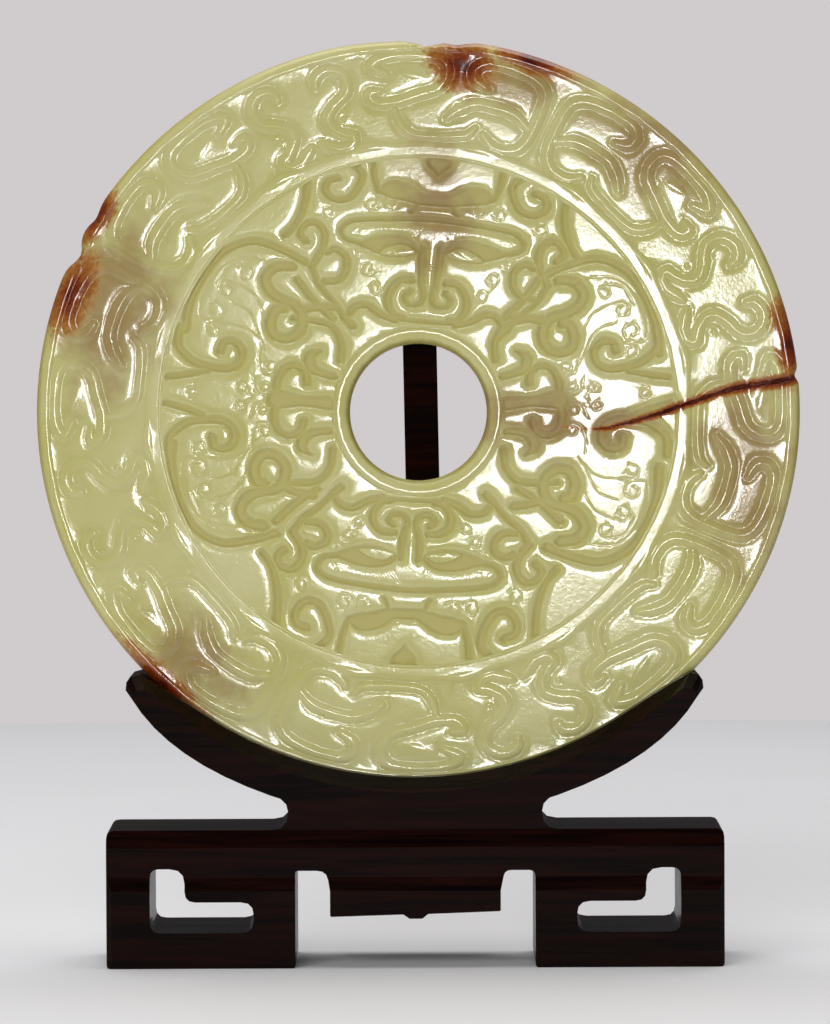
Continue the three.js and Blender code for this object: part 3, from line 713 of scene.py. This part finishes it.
def shape_disc(share_round, share_across, sizes, step):
    """Millimetre points of the disc for shares of the way round and across its section."""
    section = disc_section(step)
    along = np.linspace(0, 1, len(section))
    fraction = np.interp(share_across, along, section[:, 0])
    y = np.interp(share_across, along, section[:, 1])
    degrees = share_round * 360
    front = (y < -THICKNESS / 2 + 1e-6) & (fraction < SHOULDER + 1e-9)
    back = (y > THICKNESS / 2 - 1e-6) & (fraction < SHOULDER + 1e-9)
    height = np.zeros(fraction.shape)
    height[front] = carve_front(fraction[front], degrees[front], sizes)
    height[back] = carve_back(fraction[back], degrees[back])
    drawn, pitted = chips(fraction, degrees)
    height -= np.maximum(pitted, 0)
    turn = np.radians(degrees)
    flat = 1 - FLATTENING * (fraction - BORE) / (1 - BORE)
    reach = RADIUS * fraction - drawn
    sign = np.where(y < 0, -1, 1) * (np.abs(y) > THICKNESS / 2 - SHOULDER_DEPTH + 1e-6)
    return np.stack([reach * np.sin(turn), y + sign * height, reach * np.cos(turn) * flat], axis=1)


COLUMN_SPREAD = 1.2  # how many steps apart the points lie round the rim


class CarveDisc(bpy.types.Operator):
    """Carve the jade disc: a sheet wrapped round its section and cut into relief"""

    bl_idname = "bidisc.carve_disc"
    bl_label = "Carve disc"

    def execute(self, context):
        sizes = context.scene.bidisc_carving
        step = sizes.mesh_step / MM * 1
        rows = len(disc_section(step))
        columns = round(2 * math.pi * RADIUS / (COLUMN_SPREAD * step) / 8) * 8
        bpy.ops.object.select_all(action="DESELECT")
        bpy.ops.mesh.primitive_grid_add(
            x_subdivisions=columns, y_subdivisions=rows - 1, size=2, location=(0, 0, 0),
        )
        piece = context.object
        piece.name = piece.data.name = "jade_disc_carved"
        sheet = np.empty(len(piece.data.vertices) * 3)
        piece.data.vertices.foreach_get("co", sheet)
        sheet = (sheet.reshape(-1, 3) + 1) / 2
        points = shape_disc(sheet[:, 0], sheet[:, 1], sizes, step)
        place = np.array(disc_place())
        points = points @ place[:3, :3].T + place[:3, 3]
        piece.data.vertices.foreach_set("co", points.ravel())
        piece.data.update()
        bpy.ops.object.mode_set(mode="EDIT")
        bpy.ops.mesh.select_all(action="SELECT")
        bpy.ops.mesh.remove_doubles(threshold=1e-6)
        bpy.ops.mesh.normals_make_consistent(inside=False)
        bpy.ops.object.mode_set(mode="OBJECT")
        faces = sum(len(face.vertices) - 2 for face in piece.data.polygons)
        if faces > sizes.triangles:
            finish_with(piece, "DECIMATE", ratio=sizes.triangles / faces)
        choose(piece)
        bpy.ops.object.shade_smooth()
        finish_with(piece, "WEIGHTED_NORMAL", mode="FACE_AREA", weight=60)
        if not piece.data.polygons:
            raise RuntimeError("the disc came out empty")
        hand_over(piece, DISC_NODE, polished_nephrite(context.scene.bidisc_jade))
        return {"FINISHED"}


# ---- The wooden pieces ----------------------------------------------------------------------

CRADLE_FROM = 37.5  # the cradle's own edges lie higher than this, in millimetres
SHARP_CORNER = math.radians(12)


def softened_copy(node, name, edge, cradle_edge):
    """A copy of a node with its flat areas whole again and its edges rubbed round."""
    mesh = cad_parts[node].data.copy()
    piece = bpy.data.objects.new(name, mesh)
    mesh.name = name
    bpy.context.scene.collection.objects.link(piece)
    choose(piece)
    bpy.ops.object.mode_set(mode="EDIT")
    bpy.ops.mesh.select_all(action="SELECT")
    bpy.ops.mesh.remove_doubles(threshold=1e-5)
    bpy.ops.mesh.dissolve_limited(angle_limit=math.radians(0.5))
    bpy.ops.object.mode_set(mode="OBJECT")
    if mesh.has_custom_normals:
        bpy.ops.mesh.customdata_custom_splitnormals_clear()
    shape = bmesh.new()
    shape.from_mesh(mesh)
    weight = shape.edges.layers.float.new("bevel_weight_edge")
    for corner in shape.edges:
        sharp = corner.is_manifold and corner.calc_face_angle() > SHARP_CORNER
        high = min(end.co.z for end in corner.verts) > CRADLE_FROM * MM
        corner[weight] = sharp * (1.0 if high else edge / cradle_edge)
    shape.to_mesh(mesh)
    shape.free()
    finish_with(
        piece, "BEVEL", width=cradle_edge, segments=4, limit_method="WEIGHT",
        use_clamp_overlap=True, miter_outer="MITER_ARC",
    )
    choose(piece)
    bpy.ops.object.shade_smooth()
    finish_with(piece, "WEIGHTED_NORMAL", mode="FACE_AREA", weight=60)
    return piece


class FinishWood(bpy.types.Operator):
    """Finish the rosewood stand and the strip behind the disc"""

    bl_idname = "bidisc.finish_wood"
    bl_label = "Finish wood"

    def execute(self, context):
        wood = context.scene.bidisc_wood
        stand = softened_copy(STAND_NODE, "stand_rosewood", wood.edge, wood.cradle_edge)
        hand_over(stand, STAND_NODE, rosewood("oiled rosewood", wood, wood.sheen, 0.06))
        strip = softened_copy(STRIP_NODE, "back_strip_rosewood", wood.edge, wood.edge)
        hand_over(strip, STRIP_NODE, rosewood("bare rosewood", wood, 0.6, 0.03))
        return {"FINISHED"}


# ---- Materials ------------------------------------------------------------------------------

MIX_FACTOR, MIX_A, MIX_B, MIX_RESULT = 0, 6, 7, 2  # a colour Mix node's sockets


def add(tree, kind, settings, inputs):
    """Adds a shader node with its settings, and sets or links its inputs."""
    node = tree.nodes.new("ShaderNode" + kind)
    for name, value in settings.items():
        setattr(node, name, value)
    for key, value in inputs.items():
        if isinstance(value, bpy.types.NodeSocket):
            tree.links.new(value, node.inputs[key])
        else:
            node.inputs[key].default_value = value
    return node


def new_material(name):
    """An empty material with its node tree, shader and output."""
    material = bpy.data.materials.new(name)
    material.use_nodes = True
    tree = material.node_tree
    tree.nodes.clear()
    shader = add(tree, "BsdfPrincipled", {}, {})
    add(tree, "OutputMaterial", {}, {"Surface": shader.outputs["BSDF"]})
    return material, tree, shader


# The clouds and the brown skin, in millimetres on the disc: middle across and up, half sizes
# across and up, and degrees turned anticlockwise.
CLOUDS = (
    (5, 50, 11, 22, 0),
    (54, 61, 20, 12, -40),
    (-72, 26, 15, 24, 0),
    (-53, -58, 17, 11, -45),
    (76, -14, 14, 26, 0),
    (34, -2, 26, 11, 0),
    (26, 78, 22, 8, 0),
)
SKINS = (
    (11, 82, 10, 8, 0),
    (27, 82, 13, 3.5, -18),
    (-81, 29, 6, 12, -20),
    (-76, 46, 5, 9, -30),
    (-60, -64, 18, 4, -45),
    (87, 16, 4, 12, 10),
)
SKIN_TINTS = ((0, "b08a4c"), (0.35, "9a6428"), (0.7, "7a300a"), (1, "4a1406"))
CRACK_CURVE = ((0, -1.5), (21, -1.5), (42.5, -4.2), (48.3, -3), (55.6, -1), (63.6, 1.7),
               (75.3, 5.3), (84, 6.6), (91, 8.4))
CRACK_SPAN = 100  # the curve is drawn over this many millimetres across
CRACK_RISE = 20


def spots(tree, position, places):
    """1 in the middle of the nearest of some spots, 0 at its edge and less beyond."""
    value = None
    for x, z, across, up, turn in places:
        mapped = add(tree, "Mapping", {"vector_type": "TEXTURE"}, {
            "Vector": position,
            "Location": (x, 0, z),
            "Rotation": (0, -math.radians(turn), 0),
            "Scale": (across, 1000, up),
        })
        away = add(tree, "VectorMath", {"operation": "LENGTH"}, {0: mapped.outputs[0]})
        spot = add(tree, "Math", {"operation": "SUBTRACT"}, {0: 1.0, 1: away.outputs["Value"]})
        if value is None:
            value = spot.outputs[0]
        else:
            value = add(tree, "Math", {"operation": "MAXIMUM"}, {
                0: value, 1: spot.outputs[0],
            }).outputs[0]
    return value


def crack_value(tree, position):
    """1 along the crack and 0 a little way off; the halo is widest at the rim."""
    parts = add(tree, "SeparateXYZ", {}, {0: position})
    across = add(tree, "Math", {"operation": "DIVIDE"}, {0: parts.outputs["X"], 1: CRACK_SPAN})
    curve = add(tree, "FloatCurve", {}, {"Value": across.outputs[0]})
    line = curve.mapping.curves[0]
    for x, z in CRACK_CURVE[1:-1]:
        line.points.new(x / CRACK_SPAN, 0.5 + z / CRACK_RISE)
    line.points[0].location = (0, 0.5 + CRACK_CURVE[0][1] / CRACK_RISE)
    last = CRACK_CURVE[-1]
    line.points[len(line.points) - 1].location = (last[0] / CRACK_SPAN, 0.5 + last[1] / CRACK_RISE)
    curve.mapping.update()
    rise = add(tree, "MapRange", {}, {
        "Value": curve.outputs[0], "To Min": -CRACK_RISE / 2, "To Max": CRACK_RISE / 2,
    })
    off = add(tree, "Math", {"operation": "SUBTRACT"}, {
        0: parts.outputs["Z"], 1: rise.outputs[0],
    })
    off = add(tree, "Math", {"operation": "ABSOLUTE"}, {0: off.outputs[0]})
    width = add(tree, "MapRange", {}, {
        "Value": parts.outputs["X"], "From Min": 15, "From Max": RADIUS, "To Min": 0.4,
        "To Max": 1.9,
    })
    ratio = add(tree, "Math", {"operation": "DIVIDE"}, {0: off.outputs[0], 1: width.outputs[0]})
    value = add(tree, "Math", {"operation": "SUBTRACT"}, {0: 1.0, 1: ratio.outputs[0]})
    begun = add(tree, "MapRange", {"interpolation_type": "SMOOTHSTEP"}, {
        "Value": parts.outputs["X"], "From Min": 12, "From Max": 60, "To Min": -1.4,
        "To Max": 0.1,
    })
    return add(tree, "Math", {"operation": "ADD"}, {
        0: value.outputs[0], 1: begun.outputs[0],
    }).outputs[0]


def ragged(tree, value, noise, amount):
    """Roughens a spot's edge with a noise."""
    centred = add(tree, "Math", {"operation": "SUBTRACT"}, {0: noise, 1: 0.5})
    return add(tree, "Math", {"operation": "MULTIPLY_ADD"}, {
        0: centred.outputs[0], 1: amount, 2: value,
    }).outputs[0]


def skin_over(tree, local, noises, stone):
    """The stone's colour with the brown skin over it: ochre at its edge, nearly black within."""
    skin = add(tree, "Math", {"operation": "MAXIMUM"}, {
        0: spots(tree, local, SKINS), 1: crack_value(tree, local),
    }).outputs[0]
    skin = ragged(tree, skin, noises["patch"], 0.9)
    skin = ragged(tree, skin, noises["fine"], 0.7)
    tint = add(tree, "ValToRGB", {}, {0: skin})
    ramp = tint.color_ramp
    for position, _ in SKIN_TINTS[1:-1]:
        ramp.elements.new(position)
    for element, (position, code) in zip(ramp.elements, SKIN_TINTS):
        element.position = position
        element.color = linear(code)
    covered = add(tree, "MapRange", {"interpolation_type": "SMOOTHSTEP"}, {
        "Value": skin, "From Min": -0.12, "From Max": 0.3,
    }).outputs[0]
    return add(tree, "Mix", {"data_type": "RGBA"}, {
        MIX_FACTOR: covered, MIX_A: stone, MIX_B: tint.outputs[0],
    }).outputs[MIX_RESULT]


def clouded_stone(tree, local, noises, sunk, jade):
    """The stone's colour: milky, darker and yellower down in the carving as painted shade, with
    grey-brown clouds.
    """
    milk = add(tree, "MapRange", {}, {
        "Value": noises["broad"], "From Min": 0.38, "From Max": 0.66,
    })
    body = add(tree, "Mix", {"data_type": "RGBA"}, {
        MIX_FACTOR: milk.outputs[0], MIX_A: jade.body, MIX_B: jade.body_light,
    }).outputs[MIX_RESULT]
    # Painted shade: the deeper below the face, the more of the darker, yellower hollow colour.
    body = add(tree, "Mix", {"data_type": "RGBA"}, {
        MIX_FACTOR: sunk, MIX_A: body, MIX_B: jade.hollow,
    }).outputs[MIX_RESULT]
    cloud = ragged(tree, spots(tree, local, CLOUDS), noises["patch"], 1.6)
    cloud = add(tree, "MapRange", {"interpolation_type": "SMOOTHSTEP"}, {
        "Value": cloud, "From Min": -0.25, "From Max": 0.9, "To Max": 0.85,
    }).outputs[0]
    return add(tree, "Mix", {"data_type": "RGBA"}, {
        MIX_FACTOR: cloud, MIX_A: body, MIX_B: jade.cloud,
    }).outputs[MIX_RESULT]


# The stone's unevenness: its size in millimetres and its detail.
JADE_NOISES = {"broad": (26, 3), "patch": (7, 4), "fine": (0.9, 3)}


def polished_nephrite(jade):
    """Nephrite, sawn, drilled and polished with grit: waxy, and light soaks a little way in.

    The polish lies on the face; the carving's floors stay satin. Brown skin and clouds, where
    iron has got in, sit in fixed places on the stone.
    """
    material, tree, shader = new_material("polished nephrite")
    coordinates = add(tree, "TexCoord", {}, {})
    local = add(tree, "Mapping", {"vector_type": "TEXTURE"}, {
        "Vector": coordinates.outputs["Object"],
        "Location": disc_place().translation,
        "Rotation": (-LEAN, 0, 0),
        "Scale": (MM, MM, MM),
    }).outputs[0]
    noises = {}
    for name, (size, detail) in JADE_NOISES.items():
        noises[name] = add(tree, "TexNoise", {}, {
            "Vector": local, "Scale": 1 / size, "Detail": detail, "Roughness": 0.55,
        }).outputs[0]
    parts = add(tree, "SeparateXYZ", {}, {0: local})
    # How far a point lies below either face: it sets the painted shade in the carving and the
    # satin there.
    depth = add(tree, "Math", {"operation": "ABSOLUTE"}, {0: parts.outputs["Y"]})
    sunk = add(tree, "MapRange", {}, {
        "Value": depth.outputs[0], "From Min": THICKNESS / 2 - 0.3,
        "From Max": THICKNESS / 2 - 0.7,
    }).outputs[0]
    stone = clouded_stone(tree, local, noises, sunk, jade)
    stone = skin_over(tree, local, noises, stone)
    tree.links.new(stone, shader.inputs["Base Color"])
    # Satin in the hollows, polish on the face.
    rough = add(tree, "MapRange", {}, {
        "Value": sunk, "To Min": jade.polish, "To Max": jade.ground,
    })
    tree.links.new(rough.outputs[0], shader.inputs["Roughness"])
    # The polish is slightly wavy, with a fine peel.
    wave = add(tree, "Bump", {}, {
        "Strength": 1.0, "Distance": 0.02 * MM, "Height": noises["patch"],
    })
    peel = add(tree, "Bump", {}, {
        "Strength": 1.0, "Distance": 0.017 * MM, "Height": noises["fine"],
        "Normal": wave.outputs[0],
    })
    tree.links.new(peel.outputs[0], shader.inputs["Normal"])
    shader.inputs["IOR"].default_value = 1.61
    shader.inputs["Subsurface Weight"].default_value = jade.glow
    shader.inputs["Subsurface Radius"].default_value = (1.0, 0.9, 0.45)
    shader.inputs["Subsurface Scale"].default_value = 3 * MM
    return material


def rosewood(name, wood, sheen, gloss):
    """Dark rosewood, planed: nearly black, with a red glow along the grain.

    The stand is oiled and rubbed, so it shines a little. The strip behind is left bare and dull.
    """
    material, tree, shader = new_material(name)
    coordinates = add(tree, "TexCoord", {}, {})
    local = add(tree, "Mapping", {"vector_type": "TEXTURE"}, {
        "Vector": coordinates.outputs["Object"], "Scale": (MM, MM, MM),
    }).outputs[0]
    # Bands of grain 2 mm wide that run along the beam.
    stretched = add(tree, "Mapping", {"vector_type": "TEXTURE"}, {
        "Vector": local, "Scale": (40, 2, 2),
    }).outputs[0]
    grain = add(tree, "TexNoise", {}, {
        "Vector": stretched, "Scale": 1.0, "Detail": 5, "Roughness": 0.6, "Distortion": 0.4,
    })
    banded = add(tree, "MapRange", {}, {
        "Value": grain.outputs[0], "From Min": 0.4, "From Max": 0.68,
    })
    tone = add(tree, "Mix", {"data_type": "RGBA"}, {
        MIX_FACTOR: banded.outputs[0], MIX_A: wood.dark, MIX_B: wood.ruddy,
    }).outputs[MIX_RESULT]
    # Pores: dashes 3 mm long and 0.25 mm wide.
    dashes = add(tree, "Mapping", {"vector_type": "TEXTURE"}, {
        "Vector": local, "Scale": (3, 0.25, 0.25),
    }).outputs[0]
    pores = add(tree, "TexNoise", {}, {
        "Vector": dashes, "Scale": 1.0, "Detail": 1, "Roughness": 0.4,
    })
    pore = add(tree, "MapRange", {}, {
        "Value": pores.outputs[0], "From Min": 0.66, "From Max": 0.76,
    })
    tree.links.new(tone, shader.inputs["Base Color"])
    rough = add(tree, "MapRange", {}, {
        "Value": grain.outputs[0], "From Min": 0.3, "From Max": 0.7,
        "To Min": 0.85 * sheen, "To Max": 1.25 * sheen,
    })
    tree.links.new(rough.outputs[0], shader.inputs["Roughness"])
    sink = add(tree, "Bump", {"invert": True}, {
        "Strength": 0.35, "Distance": 0.01 * MM, "Height": pore.outputs[0],
    })
    tree.links.new(sink.outputs[0], shader.inputs["Normal"])
    shader.inputs["Specular IOR Level"].default_value = gloss
    return material


def matt_paper(stage):
    """Matt paper backdrop, rolled out as a floor: no gloss, so the object alone shines."""
    material, tree, shader = new_material("matt paper")
    coordinates = add(tree, "TexCoord", {}, {})
    fibres = add(tree, "TexNoise", {}, {
        "Vector": coordinates.outputs["Object"], "Scale": 9, "Detail": 3,
    })
    shade = add(tree, "MapRange", {}, {
        "Value": fibres.outputs[0], "To Min": 0.95, "To Max": 1.0,
    })
    tone = add(tree, "Mix", {"data_type": "RGBA", "blend_type": "MULTIPLY"}, {
        MIX_FACTOR: 1.0, MIX_A: stage.floor, MIX_B: shade.outputs[0],
    })
    tree.links.new(tone.outputs[MIX_RESULT], shader.inputs["Base Color"])
    shader.inputs["Roughness"].default_value = 0.95
    shader.inputs["Specular IOR Level"].default_value = 0.1
    return material


# ---- The stage ------------------------------------------------------------------------------

ROOM_LIGHT = 0.14  # the dim room's share of the light, next to the pale colour that is seen


def pale_room(stage):
    """A world that looks pale behind the object and lights it only dimly from all round."""
    world = bpy.data.worlds.new("pale room")
    world.use_nodes = True
    tree = world.node_tree
    tree.nodes.clear()
    path = add(tree, "LightPath", {}, {})
    seen = add(tree, "Background", {}, {"Color": stage.room, "Strength": 1.0})
    lit = add(tree, "Background", {}, {"Color": stage.room, "Strength": ROOM_LIGHT})
    both = add(tree, "MixShader", {}, {
        0: path.outputs["Is Camera Ray"], 1: lit.outputs[0], 2: seen.outputs[0],
    })
    add(tree, "OutputWorld", {}, {"Surface": both.outputs[0]})
    return world


# The camera's height and its place to the side in millimetres, its tilt down and its roll.
CAMERA_HEIGHT = 167.7
CAMERA_SIDE = -0.9
CAMERA_DOWN = math.radians(2.37)
CAMERA_ROLL = math.radians(-0.25)


# Where each softbox hangs and how wide it is, in metres.
MIRROR_BOX = (Vector((0.064, -1.6, 0.235)), 0.13)
WINDOW_BOX = (Vector((-0.4, -1.5, 0.7)), 1.2)
TOP_BOX = (Vector((0, 0.3, 1.3)), 1.2)


def softbox(name, place, size, target, watts):
    """A square area light at a place, turned to a target."""
    bpy.ops.object.select_all(action="DESELECT")
    aim = (target - place).to_track_quat("-Z", "Y")
    bpy.ops.object.light_add(type="AREA", location=place, rotation=aim.to_euler())
    light = bpy.context.object
    light.name = light.data.name = name
    light.data.shape = "SQUARE"
    light.data.size = size
    light.data.energy = watts
    return light


class SetStage(bpy.types.Operator):
    """Lay the pale floor, hang the lights and set up the camera"""

    bl_idname = "bidisc.set_stage"
    bl_label = "Set stage"

    def execute(self, context):
        stage = context.scene.bidisc_stage
        bpy.ops.object.select_all(action="DESELECT")
        bpy.ops.mesh.primitive_circle_add(
            vertices=192, radius=stage.floor_radius, fill_type="NGON", location=(0, 0, 0),
        )
        floor = context.object
        floor.name = floor.data.name = "paper_floor"
        floor.data.materials.append(matt_paper(stage))
        middle = disc_place().translation
        softbox("mirror_softbox", *MIRROR_BOX, middle, stage.mirror_watts)
        window = softbox("window_softbox", *WINDOW_BOX, middle, stage.window_watts)
        window.visible_glossy = False  # it lights the stone but isn't mirrored in the polish
        softbox("top_softbox", *TOP_BOX, Vector((0, 0.1, 0)), stage.top_watts)
        context.scene.world = pale_room(stage)
        level = Quaternion((1, 0, 0), math.pi / 2 - CAMERA_DOWN)
        turn = level @ Quaternion((0, 0, 1), CAMERA_ROLL)
        bpy.ops.object.camera_add(
            location=(CAMERA_SIDE * MM, -stage.distance, CAMERA_HEIGHT * MM),
            rotation=turn.to_euler(),
        )
        camera = context.object
        camera.name = camera.data.name = "studio_camera"
        camera.data.lens = stage.lens
        camera.data.sensor_width = 36
        context.scene.camera = camera
        context.scene.view_settings.view_transform = "Standard"
        return {"FINISHED"}


# ---- The add-on -----------------------------------------------------------------------------

class BiDiscPanel(bpy.types.Panel):
    """Lists the steps that make the disc and its stand"""

    bl_idname = "VIEW3D_PT_bidisc"
    bl_label = "Bi disc"
    bl_space_type = "VIEW_3D"
    bl_region_type = "UI"
    bl_category = "Bi disc"

    def draw(self, context):
        for step in STEPS:
            self.layout.operator(step.bl_idname)


STEPS = (SetStage, CarveDisc, FinishWood)
GROUPS = {
    "bidisc_carving": BiDiscCarving,
    "bidisc_jade": BiDiscJade,
    "bidisc_wood": BiDiscWood,
    "bidisc_stage": BiDiscStage,
}


def register():
    for name, group in GROUPS.items():
        bpy.utils.register_class(group)
        setattr(bpy.types.Scene, name, bpy.props.PointerProperty(type=group))
    for step in STEPS:
        bpy.utils.register_class(step)
    bpy.utils.register_class(BiDiscPanel)


def unregister():
    bpy.utils.unregister_class(BiDiscPanel)
    for step in reversed(STEPS):
        bpy.utils.unregister_class(step)
    for name, group in reversed(GROUPS.items()):
        delattr(bpy.types.Scene, name)
        bpy.utils.unregister_class(group)


def main():
    register()
    bpy.ops.bidisc.set_stage()
    bpy.ops.bidisc.carve_disc()
    bpy.ops.bidisc.finish_wood()


if __name__ == "__main__":
    main()
